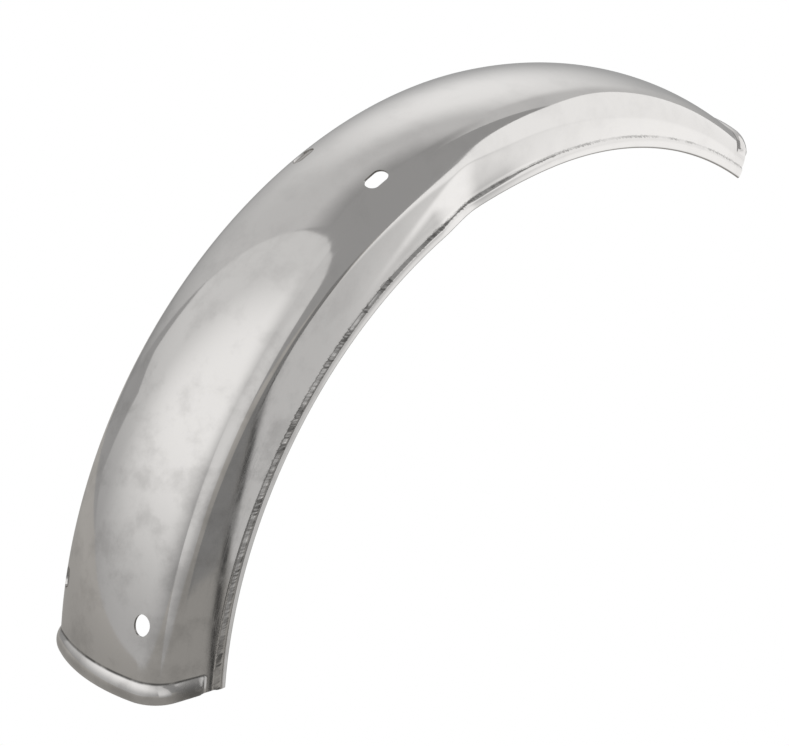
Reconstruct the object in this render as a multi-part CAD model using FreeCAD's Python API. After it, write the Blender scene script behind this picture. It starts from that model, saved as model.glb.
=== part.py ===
import FreeCAD
import Part
import math
import os

# Pressed front mudguard, one piece of sheet, millimetres and degrees.
# X points forward, Z up, Y along the wheel axle. Angles are measured about the axle
# from straight up, positive towards the front of the wheel.

sheet = 1.0

# the arc round the wheel: the side creases follow the axle, the crown has its own centre
rear_end = -82.8
front_end = 32.4
crease_radius = 260.1
crown_depth = 25.7
crown_back = 18.0
crown_up = 8.4

# the section across the sheet
half_width = 43.4
crown_curve = 96.7
front_wall = 0.65

# the rolled lip along each side edge
lip_width = 7.2
lip_flare = 35.0
lip_return = 20.0

# the raised bead across each end
bead_width = 10.5
bead_height = 2.0
bead_crest = 3.7
bead_stop = 10.0
bead_lead = 0.4

# the flat pressed into each side wall to clear the fork leg
recess_depth = 2.8
recess_start = -42.0
recess_deepest = -17.5
recess_end = -10.5
recess_height = 31.9

# the slots for the fork bracket and the holes for the rear strut
slot_angle = -27.2
slot_offset = 27.8
slot_length = 13.5
slot_width = 8.0
strut_angle = -75.2
strut_offset = 31.7
strut_hole = 8.6

axle = FreeCAD.Vector(0, 0, 0)
across = FreeCAD.Vector(0, 1, 0)
crown_radius = crease_radius + crown_depth
crown_centre = FreeCAD.Vector(-crown_back, 0, crown_up)


def crown_reach(angle):
    # distance from the axle to the crown line
    a = math.radians(angle)
    toward = crown_up * math.cos(a) - crown_back * math.sin(a)
    aside = crown_back ** 2 + crown_up ** 2 - toward ** 2
    return toward + math.sqrt(crown_radius ** 2 - aside)


# the shoulder is as round as the shallow front end leaves room for
shoulder_drop = crown_reach(front_end) - crease_radius - front_wall
shoulder_room = crown_curve ** 2 - half_width ** 2 - (crown_curve - shoulder_drop) ** 2
shoulder_curve = shoulder_room / (2.0 * (crown_curve - half_width))
# how far each half of the crown turns before the shoulder takes over
crown_half = math.asin((half_width - shoulder_curve) / (crown_curve - shoulder_curve))


def polar(angle, radius, offset=0.0):
    a = math.radians(angle)
    return FreeCAD.Vector(radius * math.sin(a), offset, radius * math.cos(a))


def arc_point(centre, radius, turn):
    # point of an arc in the section, turn 0 at the top and 90 straight out
    t = math.radians(turn)
    return centre + FreeCAD.Vector(0, radius * math.sin(t), radius * math.cos(t))


def arc(centre, radius, first, last):
    points = [arc_point(centre, radius, first + (last - first) * share) for share in (0.0, 0.5, 1.0)]
    return Part.Arc(*points).toShape()


def line(first, last):
    return Part.makeLine(first, last)


def turned(edges, centre):
    # closed outline swung round an axis across the guard, a little past both ends
    face = Part.Face(Part.Wire(Part.sortEdges(edges)[0]))
    spare = 10.0
    start = face.rotated(centre, across, rear_end - spare)
    return start.revolve(centre, across, front_end - rear_end + 2.0 * spare)


def channel(inset):
    # crown, shoulders and walls as a full body down to the side creases
    turn = math.degrees(crown_half)
    top = crown_centre + FreeCAD.Vector(0, 0, crown_radius - crown_curve)
    side = crown_centre + FreeCAD.Vector(0, half_width - shoulder_curve, crown_radius - shoulder_drop)
    foot = arc_point(side, shoulder_curve - inset, 90)
    low = foot - FreeCAD.Vector(0, 0, crown_radius / 4.0)
    half = [arc(side, shoulder_curve - inset, turn, 90), line(foot, low)]
    edges = half + [edge.mirror(axle, across) for edge in half]
    edges += [arc(top, crown_curve - inset, -turn, turn), line(low, low - across * (2.0 * low.y))]
    return turned(edges, crown_centre).cut(drum(crease_radius))


def drum(radius):
    wide = half_width * 4.0
    return Part.makeCylinder(radius, wide, FreeCAD.Vector(0, -wide / 2.0, 0), across)


def lip():
    # rolled edge: flares out at the crease, turns back in at the bottom, flat on the wheel side
    flare = math.radians(lip_flare)
    radius = lip_width / (math.sin(flare) + math.sin(math.radians(lip_return)))
    crease = FreeCAD.Vector(0, half_width, crease_radius)
    middle = arc_point(crease, -radius, 90 - lip_flare)
    edge = arc_point(middle, radius, 90 + lip_return)
    inner = crease - across * sheet
    low = FreeCAD.Vector(0, inner.y, edge.z)
    edges = [arc(middle, radius, 90 - lip_flare, 90 + lip_return)]
    edges += [line(edge, low), line(low, inner), line(inner, crease)]
    return turned(edges, axle).mirror(axle, across)


def recess(inset):
    # pyramid whose two faces are the long flat and its short return at the front
    wall = inset - half_width
    foot = crease_radius - sheet * 2.0
    tip = polar(recess_deepest, foot, wall + recess_depth)
    back, front = polar(recess_start, foot, wall), polar(recess_end, foot, wall)
    rim = [back, polar(recess_deepest, crease_radius + recess_height, wall), front]
    rim = [tip + (corner - tip) * 1.5 for corner in rim]
    faces = [Part.Face(Part.makePolygon(rim + rim[:1]))]
    for i in range(3):
        faces.append(Part.Face(Part.makePolygon([rim[i], rim[i - 1], tip, rim[i]])))
    body = Part.makeSolid(Part.makeShell(faces))
    if body.Volume < 0:
        body.reverse()
    # a narrow ledge stays over the lip
    return body.cut(drum(crease_radius + sheet - inset))


def end_bead(end, inward):
    # rolled edge that runs over the crown and one shoulder and ends on the wall in a round nose
    place = polar(end, crown_reach(end))
    out = (place - crown_centre).normalize()
    run = across.cross(out)
    inner = run * inward
    radius = ((bead_width - bead_crest) ** 2 + bead_height ** 2) / (2.0 * bead_height)
    middle = place + inner * bead_crest + out * (bead_height - radius)
    base = place + inner * bead_crest - out * (sheet / 2.0)
    foot = inner * math.sqrt(radius ** 2 - middle.distanceToPoint(base) ** 2)
    crest = middle + out * radius
    half = half_round(base, base + foot, crest, middle)
    profile = half.fuse(half_round(base, base - foot, crest, middle)).removeSplitter().Faces[0]
    # it turns a little later than the sheet, so that their joints stay apart
    turn = math.degrees(crown_half) + bead_lead
    lean = math.sin(math.radians(turn))
    curve = (half_width - crown_curve * lean) / (1.0 - lean)
    drop = crown_curve - (crown_curve - curve) * math.cos(math.radians(turn))
    top = place - out * crown_curve
    pieces = [profile.rotated(top, run, -turn).revolve(top, run, 2.0 * turn)]
    wall = crown_reach(end) - drop - crease_radius
    sweep = 90.0 - turn
    if wall < bead_stop:
        sweep -= math.degrees(math.asin((bead_stop - wall) / curve))
    centre = place - out * drop - across * (half_width - curve)
    start = profile.rotated(top, run, turn)
    pieces.append(start.revolve(centre, run, sweep))
    down = out * min(0.0, bead_stop - wall)
    nose = half.revolve(base, out, -180 * inward).rotated(top, run, turn)
    pieces.append(nose.rotated(centre, run, sweep).translated(down))
    if wall > bead_stop:
        pieces.append(start.rotated(centre, run, sweep).extrude(down))
    return pieces


def half_round(base, foot, crest, middle):
    # half of the bead's outline, from its middle line out to its foot
    slant = (foot - middle).normalize() + (crest - middle).normalize()
    between = middle + slant.normalize() * crest.distanceToPoint(middle)
    edges = [Part.Arc(foot, between, crest).toShape(), line(crest, base), line(base, foot)]
    return Part.Face(Part.Wire(edges))


def block(inset):
    # everything within the sheet's outer face, or within its inner face
    return channel(inset).cut(recess(inset))


def sector():
    # wedge of the wheel between the two ends, on one side of the middle
    far = crown_radius * 3.0
    ends = [rear_end, (rear_end + front_end) / 2.0, front_end]
    corners = [axle] + [polar(angle, far) for angle in ends] + [axle]
    return Part.Face(Part.makePolygon(corners)).extrude(across * (half_width * -2.0))


def outer_reach(angle, offset):
    # distance from the axle to the outer face on the crown, this far off the middle
    return crown_reach(angle) - crown_curve + math.sqrt(crown_curve ** 2 - offset ** 2)


def punch(angle, offset, width, length):
    # cutter for one hole, its long way along the arc, pointing at the axle
    depth = 30.0
    tool = Part.makeCylinder(width / 2.0, depth, FreeCAD.Vector(0, 0, -depth / 2.0))
    if length > width:
        run = (length - width) / 2.0
        ahead = tool.translated(FreeCAD.Vector(run, 0, 0))
        behind = tool.translated(FreeCAD.Vector(-run, 0, 0))
        middle = Part.makeBox(2.0 * run, width, depth, FreeCAD.Vector(-run, -width / 2.0, -depth / 2.0))
        tool = middle.fuse([ahead, behind]).removeSplitter()
    tool.translate(FreeCAD.Vector(0, offset, outer_reach(angle, offset)))
    tool.rotate(axle, across, angle)
    return tool


def mudguard():
    # one half is shaped, then joined to its mirror image
    half = block(0.0).cut(block(sheet)).fuse(lip())
    half = half.fuse(end_bead(rear_end, 1) + end_bead(front_end, -1)).common(sector())
    half = half.cut(punch(slot_angle, -slot_offset, slot_width, slot_length))
    half = half.cut(punch(strut_angle, -strut_offset, strut_hole, strut_hole))
    body = half.fuse(half.mirror(axle, across)).removeSplitter()
    # the origin goes midway between the fork slots, level with the outer face there
    body.translate(polar(slot_angle, -outer_reach(slot_angle, slot_offset)))
    return body


os.makedirs("parts", exist_ok=True)
guard = mudguard()
guard.exportStep("parts/mudguard.step")
print("mudguard", guard.isValid(), len(guard.Solids), round(guard.Volume), guard.BoundBox)
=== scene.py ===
import bpy
import math
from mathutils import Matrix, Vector


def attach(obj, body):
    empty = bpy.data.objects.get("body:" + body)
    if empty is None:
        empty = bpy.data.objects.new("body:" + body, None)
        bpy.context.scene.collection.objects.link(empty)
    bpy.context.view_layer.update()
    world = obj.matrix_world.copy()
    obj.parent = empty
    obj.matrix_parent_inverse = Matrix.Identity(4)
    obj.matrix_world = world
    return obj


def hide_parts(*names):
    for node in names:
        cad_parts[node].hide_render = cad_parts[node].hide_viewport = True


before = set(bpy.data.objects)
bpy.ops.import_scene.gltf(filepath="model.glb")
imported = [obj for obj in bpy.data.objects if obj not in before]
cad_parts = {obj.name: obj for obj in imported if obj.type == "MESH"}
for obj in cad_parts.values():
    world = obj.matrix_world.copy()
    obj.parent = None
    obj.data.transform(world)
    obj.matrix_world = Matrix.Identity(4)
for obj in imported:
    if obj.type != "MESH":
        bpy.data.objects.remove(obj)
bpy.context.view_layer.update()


def hexColour(code):
    # sRGB hex to the linear values that a socket takes
    parts = [int(code[i:i + 2], 16) / 255 for i in (1, 3, 5)]
    return [p / 12.92 if p < 0.04045 else ((p + 0.055) / 1.055) ** 2.4 for p in parts] + [1]


def addNode(tree, kind, settings, inputs):
    # settings are the node's own choices, inputs are fixed values or other nodes' outputs
    node = tree.nodes.new(kind)
    for name, value in settings.items():
        setattr(node, name, value)
    for name, value in inputs.items():
        if isinstance(value, bpy.types.NodeSocket):
            tree.links.new(value, node.inputs[name])
        else:
            node.inputs[name].default_value = value
    return node


def fadeBy(tree, *fades):
    # smooth fades multiplied together: what each follows, then from, to and the value at both
    whole = None
    for source, (start, end, first, last) in fades:
        fade = addNode(tree, "ShaderNodeMapRange", {"interpolation_type": "SMOOTHSTEP"},
                       {0: source, 1: start, 2: end, 3: first, 4: last}).outputs[0]
        if whole:
            fade = addNode(tree, "ShaderNodeMath", {"operation": "MULTIPLY"},
                           {0: whole, 1: fade}).outputs[0]
        whole = fade
    return whole


def freshStart():
    bpy.ops.object.select_all(action="DESELECT")


def smoothStep(x):
    x = min(max(x, 0.0), 1.0)
    return x * x * (3 - 2 * x)


# the pressed guard: millimetres and degrees, with angles about the axle, 0 straight up and
# positive towards the front
guard = {
    "sheet": 1.0,
    "rearEnd": -82.8, "frontEnd": 32.4,
    "axleX": 135.83, "axleZ": -264.30,   # the origin is midway between the fork slots
    "creaseRadius": 260.1,   # the side creases run round the axle
    "crownRadius": 285.8, "crownBack": 18.0, "crownUp": 8.4,   # the crown has its own centre
    "halfWidth": 43.4, "crownCurve": 96.7, "shoulderCurve": 17.5, "wallCurve": 480,
    # side lip: tight hollow crease, round step, nearly upright band, rolled edge;
    # the radius and the last tilt of each
    "lip": ((1.2, 45), (2.2, 6), (14.5, -9), (1.4, -62)),
    # end bead: tight hollow, then a full round that comes down again at the edge
    "beadWidth": 10.5, "beadHollow": 1.0, "beadFlare": 38, "beadReturn": 30,
    "beadStop": 6.5, "beadFade": 2.2,   # where it ends on the wall, over the crease
    # fork recess: a flat below a straight fold, deepest at the ridge, then a long return
    "foldFrom": (-174.6, 199.5), "foldTo": (-91.3, 271.5),
    "flatSlope": 0.11, "flatTail": (-44, -33),
    "ridge": -18.5, "ridgeSoft": 1.2, "returnTo": -4.0,
    "foldSoft": 0.12, "returnSoft": 0.06, "meetSoft": 0.5,
    # the side crease is pushed in later, and comes back sooner
    "creaseDepth": 2.5, "creaseFrom": -24.5, "creaseTo": -6.0, "creaseRise": 0.06,
    # points over half the section, and steps along the arc up to each angle
    "crownPoints": 16, "shoulderPoints": 18, "wallPoints": 16, "lipPoints": (5, 6, 6, 7),
    "beadSpan": 2.3, "beadSteps": 34, "steps": ((-46, 50), (-28, 54), (-8, 84)), "frontSteps": 56,
    "smoothAngle": 40,
}


def crownReach(angle):
    # from the axle to the middle of the crown
    g = guard
    a = math.radians(angle)
    toward = g["crownUp"] * math.cos(a) - g["crownBack"] * math.sin(a)
    aside = g["crownBack"] ** 2 + g["crownUp"] ** 2 - toward ** 2
    return toward + math.sqrt(g["crownRadius"] ** 2 - aside)


def sectionAt(angle):
    # half the section from crown to lip: across, height over the crease, and the way the face looks
    g = guard
    crown, curve = g["crownCurve"], g["shoulderCurve"]
    depth = crownReach(angle) - g["creaseRadius"]
    tilt = math.asin((g["halfWidth"] - curve) / (crown - curve))
    foot = depth - crown + (crown - curve) * math.cos(tilt)
    lean = foot / g["wallCurve"]   # the walls bulge a little
    points = []
    for i in range(g["crownPoints"]):
        t = tilt * i / g["crownPoints"]
        points.append((crown * math.sin(t), depth - crown * (1 - math.cos(t)),
                       math.sin(t), math.cos(t)))
    for i in range(g["shoulderPoints"]):
        t = tilt + (math.pi / 2 - lean - tilt) * i / g["shoulderPoints"]
        points.append((g["halfWidth"] - curve + curve * math.sin(t), foot + curve * math.cos(t),
                       math.sin(t), math.cos(t)))
    bulge = (foot + curve * math.sin(lean)) / math.sin(lean)
    side = g["halfWidth"] - curve + curve * math.cos(lean) - bulge * math.cos(lean)
    for i in range(g["wallPoints"]):
        t = lean * (1 - i / g["wallPoints"])
        points.append((side + bulge * math.cos(t), bulge * math.sin(t), math.cos(t), math.sin(t)))
    share = g["halfWidth"] / (side + bulge)   # the width stays as it is
    points = [(y * share, z, ny, nz) for y, z, ny, nz in points]
    y, z, tilt = g["halfWidth"], 0.0, 0.0
    for (radius, last), count in zip(g["lip"], g["lipPoints"]):
        last = math.radians(last)
        turn = radius if last < tilt else -radius   # a hollow turns the other way
        for i in range(count):
            t = tilt + (last - tilt) * i / count
            points.append((y + turn * (math.cos(t) - math.cos(tilt)),
                           z - turn * (math.sin(tilt) - math.sin(t)), math.cos(t), math.sin(t)))
        y += turn * (math.cos(last) - math.cos(tilt))
        z -= turn * (math.sin(tilt) - math.sin(last))
        tilt = last
    points.append((y, z, math.cos(tilt), math.sin(tilt)))
    return points


def lesser(a, b, soft):
    # the smaller of two, with a rounded change-over
    gap = max(soft - abs(a - b), 0.0) / soft
    return min(a, b) - gap * gap * soft / 4


def pastRidge(angle):
    # degrees in front of the ridge of the recess, with a rounded start
    past, soft = angle - guard["ridge"], guard["ridgeSoft"]
    return max(past, 0.0) if abs(past) > soft else (past + soft) ** 2 / (4 * soft)


def easeOut(angle, end):
    # 1 at the ridge, 0 at the front end of the recess
    return (1 - min(pastRidge(angle) / (end - guard["ridge"]), 1.0)) ** 2


def pressedIn(angle, across, height):
    # how far the fork recess moves the sheet in at this place
    g = guard
    rise = (angle - g["creaseFrom"]) / (g["ridge"] - g["creaseFrom"])
    push = g["creaseDepth"] * smoothStep(rise) * easeOut(angle, g["creaseTo"])
    if height <= 0:
        return push
    back = angle - pastRidge(angle)
    r, a = g["creaseRadius"] + height, math.radians(back)
    x, z = r * math.sin(a) - g["foldFrom"][0], r * math.cos(a) - g["foldFrom"][1]
    runX, runZ = g["foldTo"][0] - g["foldFrom"][0], g["foldTo"][1] - g["foldFrom"][1]
    below = (x * runZ - z * runX) / math.hypot(runX, runZ)
    tail = smoothStep((back - g["flatTail"][0]) / (g["flatTail"][1] - g["flatTail"][0]))
    flat = g["flatSlope"] * below * tail * easeOut(angle, g["returnTo"])
    reach = lesser(flat, push + g["creaseRise"] * height, g["meetSoft"])
    overlap = min(across, g["halfWidth"]) - g["halfWidth"] + reach
    if overlap <= 0:
        return 0.0
    soft = g["foldSoft"] + g["returnSoft"] * pastRidge(angle)
    return overlap ** 2 / (4 * soft) if overlap < 2 * soft else overlap - soft


def beadRise(angle, height):
    # the raised bead across each end, with a short round nose on the walls
    g = guard
    inward = math.radians(min(angle - g["rearEnd"], g["frontEnd"] - angle)) * g["crownRadius"]
    far = g["beadWidth"] - inward
    if far <= 0:
        return 0.0
    flare, hollow = math.radians(g["beadFlare"]), g["beadHollow"]
    start = hollow * math.sin(flare)
    full = (g["beadWidth"] - start) / (math.sin(flare) + math.sin(math.radians(g["beadReturn"])))
    if far < start:
        rise = hollow - math.sqrt(hollow ** 2 - far ** 2)
    else:
        aside = far - start - full * math.sin(flare)
        crest = math.sqrt(full ** 2 - aside ** 2)
        rise = hollow * (1 - math.cos(flare)) + crest - full * math.cos(flare)
    return rise * smoothStep((height - g["beadStop"]) / g["beadFade"])


def stations():
    # angles along the arc, closer together at the end beads and in the recess
    g = guard
    stops = [(g["rearEnd"] + g["beadSpan"], g["beadSteps"]), *g["steps"],
             (g["frontEnd"] - g["beadSpan"], g["frontSteps"]), (g["frontEnd"], g["beadSteps"])]
    angles, last = [], g["rearEnd"]
    for stop, count in stops:
        angles += [last + (stop - last) * i / count for i in range(count)]
        last = stop
    return angles + [last]


def makeGuard():
    angles = stations()
    half = len(sectionAt(0))
    freshStart()
    bpy.ops.mesh.primitive_grid_add(x_subdivisions=2 * half - 2,
                                    y_subdivisions=len(angles) - 1, size=1)
    sheet = bpy.context.object
    sheet.name = "guardSheet"
    mesh = sheet.data
    places, spots = [], []
    for angle in angles:   # the flat grid is laid over the arc row by row
        a = math.radians(angle)
        row = []
        for across, height, ny, nz in sectionAt(angle):
            rise = beadRise(angle, height)
            y = across + ny * rise - pressedIn(angle, across, height)
            row.append((y, guard["creaseRadius"] + height + nz * rise, height))
        left = [(-y, r, height) for y, r, height in row[:0:-1]]
        for y, r, height in left + row:
            places += [(guard["axleX"] + r * math.sin(a)) / 1000, y / 1000,
                       (guard["axleZ"] + r * math.cos(a)) / 1000]
            spots.append((a * guard["creaseRadius"] / 1000, height / 1000))
    mesh.vertices.foreach_set("co", places)
    mesh.uv_layers.active.name = "run"   # metres along the arc and over the crease
    run = mesh.uv_layers.active.data
    for loop in mesh.loops:
        run[loop.index].uv = spots[loop.vertex_index]
    mesh.update()
    bpy.ops.object.mode_set(mode="EDIT")
    bpy.ops.mesh.select_all(action="SELECT")
    bpy.ops.mesh.normals_make_consistent(inside=False)
    bpy.ops.object.mode_set(mode="OBJECT")
    if sum(p.normal.z for p in mesh.polygons) < 0:   # an open sheet can come out facing the wheel
        bpy.ops.object.mode_set(mode="EDIT")
        bpy.ops.mesh.flip_normals()
        bpy.ops.object.mode_set(mode="OBJECT")
    wall = sheet.modifiers.new("wall", "SOLIDIFY")
    wall.thickness = guard["sheet"] / 1000
    wall.offset = -1
    wall.use_even_offset = True
    bpy.ops.object.modifier_apply(modifier="wall")
    print("sheet", len(mesh.vertices), "points", len(mesh.polygons), "faces")
    return sheet


# slots for the fork bracket and oval holes for the rear strut, long way along the arc
holes = {
    "slot": {"angle": -27.2, "offset": 27.8, "length": 13.5, "width": 8.0},
    "strut": {"angle": -75.2, "offset": 31.7, "length": 11.2, "width": 7.8},
    "punchSides": 48, "punchDepth": 30,
}


def makePunch(name, side):
    # one punch, pointing at the axle
    hole, curve = holes[name], guard["crownCurve"]
    reach = crownReach(hole["angle"]) - curve + math.sqrt(curve ** 2 - hole["offset"] ** 2)
    freshStart()
    bpy.ops.mesh.primitive_cylinder_add(vertices=holes["punchSides"], radius=hole["width"] / 2000,
                                        depth=holes["punchDepth"] / 1000)
    punch = bpy.context.object
    punch.name = name
    for v in punch.data.vertices:
        if name == "slot":   # straight sides between round ends
            v.co.x += math.copysign((hole["length"] - hole["width"]) / 2000, v.co.x)
        else:
            v.co.x *= hole["length"] / hole["width"]
    punch.location = (0, side * hole["offset"] / 1000, reach / 1000)
    bpy.ops.object.transform_apply(location=True, rotation=True, scale=True)
    punch.rotation_euler = (0, math.radians(hole["angle"]), 0)
    punch.location = (guard["axleX"] / 1000, 0, guard["axleZ"] / 1000)
    bpy.ops.object.transform_apply(location=True, rotation=True, scale=True)
    return punch


def pick(piece):
    freshStart()
    piece.select_set(True)
    bpy.context.view_layer.objects.active = piece


def punchHoles(sheet):
    for side in (-1, 1):
        for name in ("slot", "strut"):
            punch = makePunch(name, side)
            pick(sheet)
            cut = sheet.modifiers.new("cut", "BOOLEAN")
            cut.object = punch
            cut.operation = "DIFFERENCE"
            cut.solver = "EXACT"
            bpy.ops.object.modifier_apply(modifier="cut")
            bpy.data.objects.remove(punch)
    pick(sheet)
    bpy.ops.object.shade_smooth_by_angle(angle=math.radians(guard["smoothAngle"]))
    print("holes punched", len(sheet.data.polygons), "faces")


# stainless sheet, pressed and then polished: a clear mirror that is a little cloudy from handling,
# with dark tool marks and painted shade along the side creases, and painted shade beside the end
# beads
steel = {
    # the dark mark colour is for the tool marks and for painted shade in the creases and bead
    # hollows
    "colour": "#cbc9c7", "cloud": "#aeacaa", "marksAndShade": "#23221f",
    "cloudShare": 0.65, "marksAndShadeShare": 0.78,
    "roughness": 0.06, "cloudAdds": 0.055, "grainAdds": 0.03, "marksAndShadeAdds": 0.26,
    # patterns on the sheet: size in millimetres, detail, roughness
    "cloudNoise": (22, 5, 0.6), "patchNoise": (12, 2, 0.5), "beadShadeNoise": (7, 3, 0.5),
    "waveNoise": (45, 1, 0.5), "waveHeight": 0.10,
    "grainLong": 25, "grainWide": 0.5,   # the real grain is finer, too fine to show
    "markPitch": 1.5, "markSlant": 2.0, "markStretch": 0.15, "markRagged": 0.7, "strokeGain": 7,
    # fades (from, to, value at both), the first ones by the strength of a pattern
    "cloudEdge": (0.45, 0.70, 0, 1), "patchEdge": (0.38, 0.58, 0.25, 1),
    "strokeEdge": (-0.8, 0.5, 0.5, 1), "beadShadeEdge": (0.3, 0.55, 0.45, 1),
    "grainEdge": (0.4, 0.75, 0, 1),
    # then by metres along the arc from straight up
    "cloudRun": (-0.14, -0.28, 0.3, 1), "markShadeRun": (-0.04, -0.16, 0.55, 1),
    "markShadeNarrow": (-0.02, -0.16, 2, 1),
    "solidFrom": (-0.14, -0.22, 0, 1), "solidTo": (-0.362, -0.34, 0, 0.7),
    # and by metres over the side crease
    "markShadeTop": (0.0005, -0.0001, 0, 1), "markShadeFoot": (-0.0025, -0.0017, 0, 1),
    "noseHeight": (0.034, 0.013, 0, 0.85), "beadShadeFoot": (0.0055, 0.0070, 0, 1),
    # the hollows beside the two beads in metres along the arc, and how wide the painted shade is
    # there
    "hollows": (-0.3663, 0.1375), "beadSide": (0.0009, 0.0002), "crownSide": (0.0009, 0.0001),
    "noseSide": 0.0006,
}


def polishedSteel():
    s = steel
    mat = bpy.data.materials.new("polished stainless steel")
    mat.use_nodes = True
    tree = mat.node_tree
    shader = tree.nodes["Principled BSDF"]
    shader.inputs["Metallic"].default_value = 1

    place = addNode(tree, "ShaderNodeTexCoord", {}, {}).outputs["Object"]
    wide = addNode(tree, "ShaderNodeSeparateXYZ", {}, {0: place}).outputs["Y"]
    along = addNode(tree, "ShaderNodeUVMap", {"uv_map": "run"}, {}).outputs[0]
    flat = addNode(tree, "ShaderNodeSeparateXYZ", {}, {0: along})
    run, height = flat.outputs["X"], flat.outputs["Y"]
    noise = {}
    for name in ("cloud", "patch", "beadShade", "wave"):
        size, detail, rough = s[name + "Noise"]
        noise[name] = addNode(tree, "ShaderNodeTexNoise", {}, {
            "Vector": place, "Scale": 1000 / size, "Detail": detail, "Roughness": rough}).outputs[0]

    # handling smudges: broad clouds, heavier on the lower half of the crown
    cloud = fadeBy(tree, (noise["cloud"], s["cloudEdge"]), (run, s["cloudRun"]))

    # slanting tool marks below each side crease, with painted shade in the crease: uneven strokes,
    # long one way and narrow the other
    ways = []
    for share, turn in ((1000, 1), (1000 * s["markStretch"], -1)):
        way = (turn * share / s["markPitch"], share / s["markSlant"], 0)
        ways.append(addNode(tree, "ShaderNodeVectorMath", {"operation": "DOT_PRODUCT"},
                            {0: along, 1: way}).outputs["Value"])
    slanted = addNode(tree, "ShaderNodeCombineXYZ", {}, {0: ways[0], 1: ways[1]}).outputs[0]
    streak = addNode(tree, "ShaderNodeTexNoise", {},
                     {"Vector": slanted, "Scale": 1, "Detail": 2}).outputs[0]
    stroke = addNode(tree, "ShaderNodeMath", {"operation": "MULTIPLY_ADD"},
                     {0: streak, 1: s["strokeGain"], 2: -s["strokeGain"] / 2}).outputs[0]
    # their band has ragged edges and is narrower at the front
    level = addNode(tree, "ShaderNodeMath", {"operation": "MULTIPLY"},
                    {0: height, 1: fadeBy(tree, (run, s["markShadeNarrow"]))}).outputs[0]
    level = addNode(tree, "ShaderNodeMath", {"operation": "MULTIPLY_ADD"},
                    {0: stroke, 1: s["markRagged"] / 1000, 2: level}).outputs[0]
    # they come in patches, and without a break on the rear part
    patch = addNode(tree, "ShaderNodeMath", {"operation": "MAXIMUM"}, {
        0: fadeBy(tree, (noise["patch"], s["patchEdge"])),
        1: fadeBy(tree, (run, s["solidFrom"]), (run, s["solidTo"]))}).outputs[0]
    # this dark band is partly real tool marks and partly painted shade where the crease lies in
    # shadow
    marksAndShade = addNode(tree, "ShaderNodeMath", {"operation": "MULTIPLY"}, {
        0: patch, 1: fadeBy(tree, (level, s["markShadeTop"]), (level, s["markShadeFoot"]),
                            (stroke, s["strokeEdge"]), (run, s["markShadeRun"]))}).outputs[0]

    # painted shade in the hollow along each end bead and round the rear bead's nose
    spots = []
    for hollow, inward in zip(s["hollows"], (1, -1)):
        bead = [hollow - inward * away for away in s["beadSide"]]
        crown = [hollow + inward * away for away in s["crownSide"]]
        spots.append(fadeBy(tree, (run, (*bead, 0, 1)), (run, (*crown, 0, 1))))
    rear = s["hollows"][0]
    spots.append(fadeBy(tree, (run, (rear + s["noseSide"], rear - s["noseSide"], 0, 1)),
                        (height, s["noseHeight"])))
    # patchy painted shade, left off the wall just above the side crease
    beadShadePatches = fadeBy(tree, (noise["beadShade"], s["beadShadeEdge"]), (height, s["beadShadeFoot"]))
    for spot in spots:
        beadShade = addNode(tree, "ShaderNodeMath", {"operation": "MULTIPLY"}, {0: spot, 1: beadShadePatches})
        marksAndShade = addNode(tree, "ShaderNodeMath", {"operation": "MAXIMUM"},
                       {0: marksAndShade, 1: beadShade.outputs[0]}).outputs[0]

    # the mark colour darkens the real tool marks and also paints shade in the side creases, the
    # bead hollows and round the rear bead's nose
    tone = hexColour(s["colour"])
    for name, mask in (("cloud", cloud), ("marksAndShade", marksAndShade)):
        amount = addNode(tree, "ShaderNodeMath", {"operation": "MULTIPLY"},
                         {0: mask, 1: s[name + "Share"]}).outputs[0]
        tone = addNode(tree, "ShaderNodeMix", {"data_type": "RGBA"},
                       {0: amount, 6: tone, 7: hexColour(s[name])}).outputs[2]
    tree.links.new(tone, shader.inputs["Base Color"])

    # fine polishing grain along the arc
    grainPlace = addNode(tree, "ShaderNodeCombineXYZ", {}, {})
    grainSizes = (run, "grainLong"), (wide, "grainWide"), (height, "grainWide")
    for axis, (source, size) in enumerate(grainSizes):
        shrunk = addNode(tree, "ShaderNodeMath", {"operation": "MULTIPLY"},
                         {0: source, 1: 1 / s[size]})
        tree.links.new(shrunk.outputs[0], grainPlace.inputs[axis])
    grain = addNode(tree, "ShaderNodeTexNoise", {},
                    {"Vector": grainPlace.outputs[0], "Scale": 1000, "Detail": 3}).outputs[0]
    grain = fadeBy(tree, (grain, s["grainEdge"]))
    shine = s["roughness"]
    for name, mask in (("cloud", cloud), ("grain", grain), ("marksAndShade", marksAndShade)):
        shine = addNode(tree, "ShaderNodeMath", {"operation": "MULTIPLY_ADD"},
                        {0: mask, 1: s[name + "Adds"], 2: shine}).outputs[0]
    tree.links.new(shine, shader.inputs["Roughness"])

    # the sheet is never quite even after pressing
    wave = addNode(tree, "ShaderNodeBump", {}, {
        "Strength": 1, "Distance": s["waveHeight"] / 1000, "Height": noise["wave"]})
    tree.links.new(wave.outputs[0], shader.inputs["Normal"])
    print("steel ready", len(tree.nodes), "nodes")
    return mat


sheet = makeGuard()
punchHoles(sheet)
sheet.data.materials.clear()
sheet.data.materials.append(polishedSteel())
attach(sheet, "root")
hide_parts("mudguard")


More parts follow.
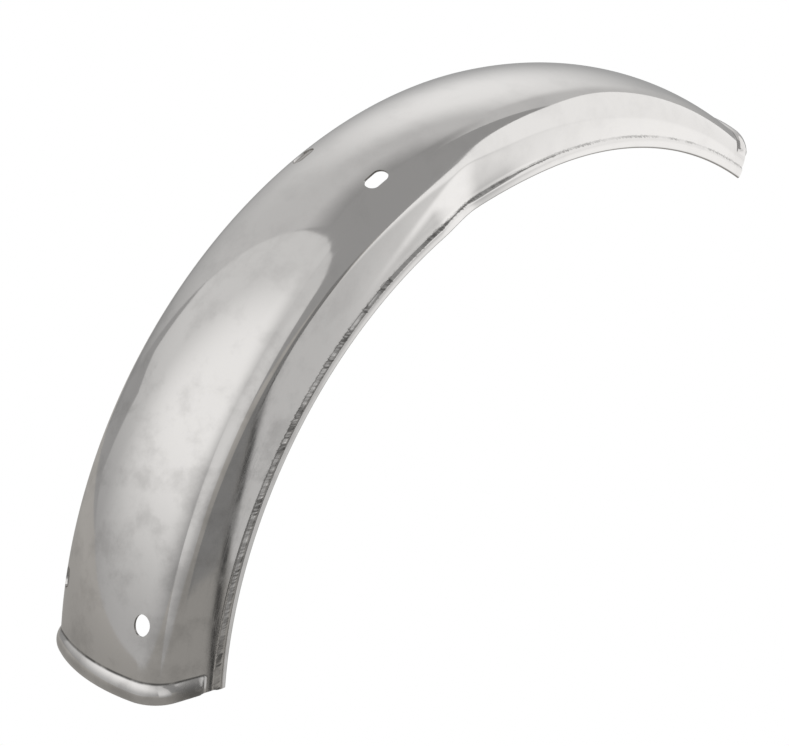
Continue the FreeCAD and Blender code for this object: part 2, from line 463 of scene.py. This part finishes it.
# grey room with bright panels, in metres and degrees: only the steel sees them, the camera
# sees white. A panel has a hot spot (azimuth, elevation) that fades to a dim level between two
# distances. Its low and high edges are elevations where the light is full and where it ends,
# with the share that is left there
studio = {
    "middle": (0.06, 0, -0.10),
    "room": {"finish": "grey wall paint", "glow": 0.45, "size": 30, "rounding": 4},
    # scrim along the rear, with corners (across, up) on the plane that it hangs in
    "scrim": {"finish": "lit scrim cloth", "glow": 1.30, "facing": -87, "away": 1.5,
              "hot": (-90, 32), "fade": (0.6, 3.0), "dim": 0.70,
              "low": (28, -14, 0.52), "high": (68, 86, 0.9),
              "corners": ((-5.0, -0.25), (-5.0, 0.9), (-10.3, 2.1), (-14, 6.5), (-5.2, 7.6),
                          (-3.6, 7.5), (0.5, 5.75), (2.62, 5.75), (2.62, -0.6))},
    # its end turns in beside the camera
    "scrimEnd": {"finish": "lit end of the scrim cloth", "glow": 1.0, "facing": -20, "away": 3.0,
                 "hot": (-13, 5), "fade": (0.2, 1.6), "dim": 0.85, "low": (-4, -24, 0.62),
                 "corners": ((-0.36, -1.3), (-0.36, 5.75), (-0.03, 4.62), (0.5, 3.22), (0.9, 2.11),
                             (1.09, 1.69), (1.37, 1.03), (1.54, -0.1), (1.64, -1.3))},
    # dark stand between the scrim and the softbox, with corners (azimuth, elevation)
    "stand": {"finish": "dark painted stand", "glow": 0.29, "away": 2.0,
              "corners": ((20.5, -30.4), (22, -4), (28, -4), (28, -30.4))},
    # black edge of the softbox's frame
    "softboxEdge": {"finish": "black frame cloth", "glow": 0.03, "away": 1.8,
                    "corners": ((27.4, -42), (27.6, -8), (28.2, -8), (29.4, -42))},
    # softbox with round corners in front on the right, a little wider at the foot
    "softbox": {"finish": "lit softbox cloth", "glow": 1.42, "facing": 62, "away": 1.9,
                "spread": (30.5, 40),   # degrees to each side, and up and down
                "hot": (59, -16), "fade": (0.25, 0.92), "dim": 0.54, "even": (-26, -4, 0.92),
                "sides": 96, "cornerPower": 0.5, "skew": 0.18},
    # curved paper behind, its rear end cut at a slant between two places (azimuth, up)
    "paper": {"finish": "lit backdrop paper", "glow": 1.20, "away": 2.5, "from": 62, "to": 215,
              "end": ((191, 1.1), (203, 4.2)), "foot": -0.4, "top": 8.7, "sides": 120,
              "hot": (136, 38), "fade": (0.2, 1.9), "dim": 0.64,
              "low": (30, -8, 0.5), "high": (60, 80, 0.5)},
    # table, dimmest under the guard
    "table": {"finish": "grey table top", "glow": 0.56, "tint": "#fffcf7", "down": 3.0, "reach": 28,
              "sides": 64, "fade": (16, 4), "dim": 0.74},
    "floor": {"finish": "white paper floor", "colour": "#f4f4f2", "roughness": 0.9,
              "down": 4.0, "size": 58},
}
middle = Vector(studio["middle"])


def compass(azimuth, elevation=0):
    # direction from the guard: 0 is to its right, 90 forward
    a, e = math.radians(azimuth), math.radians(elevation)
    return Vector((math.sin(a) * math.cos(e), -math.cos(a) * math.cos(e), math.sin(e)))


def glowMaterial(panel, hot):
    mat = bpy.data.materials.new(panel["finish"])
    mat.use_nodes = True
    tree = mat.node_tree
    tree.nodes.clear()
    glow = panel["glow"]
    lamp = addNode(tree, "ShaderNodeEmission", {},
                   {"Color": hexColour(panel.get("tint", "#ffffff")), "Strength": glow})
    addNode(tree, "ShaderNodeOutputMaterial", {}, {"Surface": lamp.outputs[0]})
    if hot is None:
        return mat
    place = addNode(tree, "ShaderNodeTexCoord", {}, {}).outputs["Object"]
    far = addNode(tree, "ShaderNodeVectorMath", {"operation": "DISTANCE"},
                  {0: place, 1: hot}).outputs["Value"]
    ray = addNode(tree, "ShaderNodeVectorMath", {"operation": "SUBTRACT"}, {0: place, 1: middle})
    ray = addNode(tree, "ShaderNodeVectorMath", {"operation": "NORMALIZE"}, {0: ray.outputs[0]})
    rise = addNode(tree, "ShaderNodeSeparateXYZ", {}, {0: ray.outputs[0]}).outputs["Z"]
    fades = [(far, (*panel["fade"], glow, glow * panel["dim"]))]
    for edge in ("low", "high"):
        if edge in panel:
            full, end, share = panel[edge]
            fades.append((rise, (compass(0, full).z, compass(0, end).z, 1, share)))
    level = fadeBy(tree, *fades)
    if "even" in panel:   # evenly lit above the hot spot
        start, end, share = panel["even"]
        even = fadeBy(tree, (rise, (compass(0, start).z, compass(0, end).z, 0, glow * share)))
        level = addNode(tree, "ShaderNodeMath", {"operation": "MAXIMUM"},
                        {0: level, 1: even}).outputs[0]
    tree.links.new(level, lamp.inputs["Strength"])
    return mat


def finishPanel(panel, name, hot=None):
    panel.name = name
    panel.data.materials.append(glowMaterial(studio[name], hot))
    panel.visible_camera = False


def hangPanel(name, corners, hot=None):
    # flat panel with these corners, seen from the middle
    freshStart()
    bpy.ops.mesh.primitive_circle_add(vertices=len(corners), radius=1, fill_type="NGON")
    panel = bpy.context.object
    for v, corner in zip(panel.data.vertices, corners):
        v.co = middle + corner
    finishPanel(panel, name, hot)


def makeSoftbox():
    box = studio["softbox"]
    way = compass(box["facing"])
    wide, high = (box["away"] * math.tan(math.radians(angle)) for angle in box["spread"])
    freshStart()
    bpy.ops.mesh.primitive_circle_add(vertices=box["sides"], radius=1, fill_type="NGON",
                                      location=middle + way * box["away"],
                                      rotation=(-way).to_track_quat("Z", "Y").to_euler())
    panel = bpy.context.object
    for v in panel.data.vertices:   # the round is pushed out towards its corners
        v.co.x = math.copysign(abs(v.co.x) ** box["cornerPower"], v.co.x)
        v.co.y = math.copysign(abs(v.co.y) ** box["cornerPower"], v.co.y)
        if v.co.x > 0:
            v.co.x *= 1 + box["skew"] * max(-v.co.y, 0)
    panel.scale = (wide, high, 1)
    bpy.ops.object.transform_apply(location=True, rotation=True, scale=True)
    finishPanel(panel, "softbox", middle + compass(*box["hot"]) * box["away"])


def makePaper():
    paper = studio["paper"]
    freshStart()
    bpy.ops.mesh.primitive_cylinder_add(vertices=paper["sides"], radius=paper["away"], depth=1,
                                        end_fill_type="NOTHING")
    panel = bpy.context.object
    for v in panel.data.vertices:
        v.co = middle + Vector((v.co.x, v.co.y, paper["foot"] if v.co.z < 0 else paper["top"]))
    bpy.ops.object.mode_set(mode="EDIT")
    bpy.ops.mesh.select_mode(type="FACE")
    bpy.ops.mesh.select_all(action="DESELECT")
    bpy.ops.object.mode_set(mode="OBJECT")
    for face in panel.data.polygons:
        spot = face.center - middle
        azimuth = math.degrees(math.atan2(spot.x, -spot.y)) % 360
        face.select = not paper["from"] < azimuth < paper["to"]
    bpy.ops.object.mode_set(mode="EDIT")
    bpy.ops.mesh.delete(type="FACE")
    low, high = (compass(azimuth) * paper["away"] + Vector((0, 0, up))
                 for azimuth, up in paper["end"])
    outward = Vector((low.x + high.x, low.y + high.y, 0))
    bpy.ops.mesh.select_all(action="SELECT")
    bpy.ops.mesh.bisect(plane_co=middle + (low + high) / 2, clear_outer=True,
                        plane_no=(high - low).cross(outward).normalized())
    bpy.ops.object.mode_set(mode="OBJECT")
    hot = compass(*paper["hot"])
    finishPanel(panel, "paper", middle + hot * (paper["away"] / math.hypot(hot.x, hot.y)))


def makeFloor():
    # pale paper that takes the shadow, and plain white to the camera and in reflections
    paper = studio["floor"]
    freshStart()
    bpy.ops.mesh.primitive_plane_add(size=paper["size"],
                                     location=middle - Vector((0, 0, paper["down"])))
    floor = bpy.context.object
    floor.name = "floor"
    mat = bpy.data.materials.new(paper["finish"])
    mat.use_nodes = True
    tree = mat.node_tree
    matt = tree.nodes["Principled BSDF"]
    matt.inputs["Base Color"].default_value = hexColour(paper["colour"])
    matt.inputs["Roughness"].default_value = paper["roughness"]
    path = addNode(tree, "ShaderNodeLightPath", {}, {})
    seen = path.outputs["Is Camera Ray"]
    for ray in ("Is Glossy Ray", "Is Transmission Ray"):
        seen = addNode(tree, "ShaderNodeMath", {"operation": "MAXIMUM"},
                       {0: seen, 1: path.outputs[ray]}).outputs[0]
    white = addNode(tree, "ShaderNodeEmission", {}, {"Color": hexColour("#ffffff"), "Strength": 1})
    mix = addNode(tree, "ShaderNodeMixShader", {},
                  {0: seen, 1: matt.outputs[0], 2: white.outputs[0]})
    tree.links.new(mix.outputs[0], tree.nodes["Material Output"].inputs["Surface"])
    floor.data.materials.append(mat)


def makeStudio():
    room = studio["room"]
    freshStart()
    bpy.ops.mesh.primitive_ico_sphere_add(subdivisions=room["rounding"], radius=room["size"],
                                          location=middle)
    finishPanel(bpy.context.object, "room")
    for name in ("scrim", "scrimEnd"):
        scrim = studio[name]
        way, aside = compass(scrim["facing"]), compass(scrim["facing"] + 90)
        hot = compass(*scrim["hot"])
        corners = [way * scrim["away"] + aside * across + Vector((0, 0, up))
                   for across, up in scrim["corners"]]
        hangPanel(name, corners, middle + hot * (scrim["away"] / hot.dot(way)))
    for name in ("stand", "softboxEdge"):
        dark = studio[name]
        hangPanel(name, [compass(*corner) * dark["away"] for corner in dark["corners"]])
    makeSoftbox()
    makePaper()
    table = studio["table"]
    below = middle - Vector((0, 0, table["down"]))
    freshStart()
    bpy.ops.mesh.primitive_circle_add(vertices=table["sides"], radius=table["reach"],
                                      fill_type="NGON", location=below)
    bpy.ops.object.transform_apply(location=True, rotation=True, scale=True)
    finishPanel(bpy.context.object, "table", below)
    makeFloor()
    world = bpy.context.scene.world or bpy.data.worlds.new("white backdrop")
    bpy.context.scene.world = world
    world.use_nodes = True
    world.node_tree.nodes["Background"].inputs["Color"].default_value = hexColour("#ffffff")
    world.node_tree.nodes["Background"].inputs["Strength"].default_value = 1
    print("studio ready")


# the camera stands to the right behind the guard, a little above it: millimetres and degrees,
# with the focal length and the frame in pixels and the clipping in metres
camera = {"target": (86.13, 52.72, -151.88), "azimuth": -42.539, "elevation": 22.666,
          "distance": 1041.6, "focus": 1791.75, "frameWidth": 789, "sensor": 36,
          "clip": (0.01, 100)}


def makeCamera():
    back = compass(camera["azimuth"], camera["elevation"])
    data = bpy.data.cameras.new("camera")
    data.sensor_width = camera["sensor"]
    data.lens = camera["sensor"] * camera["focus"] / camera["frameWidth"]
    data.clip_start, data.clip_end = camera["clip"]
    seer = bpy.data.objects.new("camera", data)
    bpy.context.scene.collection.objects.link(seer)
    seer.location = Vector(camera["target"]) / 1000 + back * camera["distance"] / 1000
    seer.rotation_mode = "QUATERNION"
    seer.rotation_quaternion = (-back).to_track_quat("-Z", "Y")
    bpy.context.scene.camera = seer
    print("camera set")


makeStudio()
makeCamera()
bpy.context.scene.view_settings.view_transform = "Standard"
